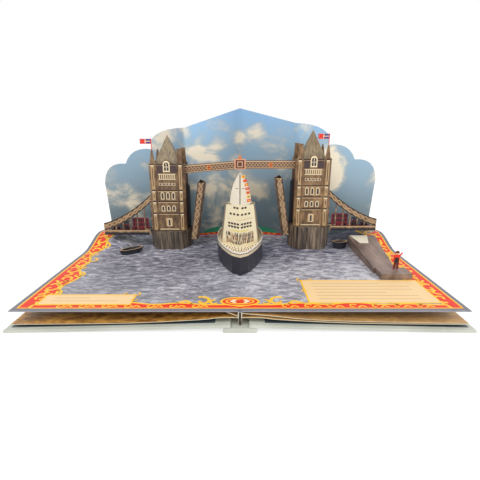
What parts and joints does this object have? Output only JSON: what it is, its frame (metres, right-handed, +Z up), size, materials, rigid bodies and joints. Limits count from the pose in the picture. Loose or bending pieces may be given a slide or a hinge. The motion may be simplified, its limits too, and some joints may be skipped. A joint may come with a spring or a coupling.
{
  "type": "pop-up book",
  "caption": "Open pop-up book with two hinged covers and a standing card scene of a lifting bridge, a ship, small boats and a jetty in front of a sky.",
  "frame": {"origin": "on the table under the middle of the spine board", "axes": "+X along the open spread, +Y from the reader's edge into the scene, +Z up"},
  "size_m": [0.452, 0.296, 0.2183],
  "materials": {
    "cover_board": "plain pale board, edges uncovered",
    "page_paper": "coated card, printed with water",
    "sky_card": "coated card, printed with sky",
    "stone_card": "coated card, printed with masonry",
    "pier_card": "coated card, printed with weathered stone",
    "roof_card": "coated card, printed with slates",
    "ironwork_card": "coated card, printed with lattice",
    "flag_card": "coated card",
    "crest_card": "coated card",
    "road_card": "coated card",
    "traffic_card": "coated card",
    "dark_card": "coated card",
    "deck_card": "coated card",
    "white_card": "coated card",
    "boat_card": "coated card",
    "jetty_card": "coated card",
    "figure_card": "coated card"
  },
  "bodies": {
    "spread": {"spine_board": "cover_board", "pages": "page_paper", "sky_backdrop": "sky_card", "left_pier": "pier_card", "left_tower": "stone_card", "left_roof": "roof_card", "left_flag": "flag_card", "left_span": "ironwork_card", "left_deck": "road_card", "left_traffic": "traffic_card", "left_bridge_leaf": "ironwork_card", "left_leaf_stay": "dark_card", "right_pier": "pier_card", "right_tower": "stone_card", "right_roof": "roof_card", "right_flag": "flag_card", "right_span": "ironwork_card", "right_deck": "road_card", "right_traffic": "traffic_card", "right_bridge_leaf": "ironwork_card", "right_leaf_stay": "dark_card", "walkway": "ironwork_card", "crest": "crest_card", "ship_hull": "dark_card", "ship_deck": "deck_card", "ship_house": "white_card", "ship_rigging": "white_card", "rowing_boat": "boat_card", "ferry_boat": "boat_card", "jetty": "jetty_card", "glue_tab": "white_card", "waving_child": "figure_card"},
    "left_cover_body": {"left_cover": "cover_board"},
    "right_cover_body": {"right_cover": "cover_board"}
  },
  "joints": [
    {"name": "left_cover_hinge", "type": "hinge", "parent": "spread", "child": "left_cover_body", "pos_m": [-0.0165, 0, 0.00515], "axis": [0, -1, 0], "range_deg": [0, 90]},
    {"name": "right_cover_hinge", "type": "hinge", "parent": "spread", "child": "right_cover_body", "pos_m": [0.0165, 0, 0.00515], "axis": [0, 1, 0], "range_deg": [0, 90]}
  ]
}
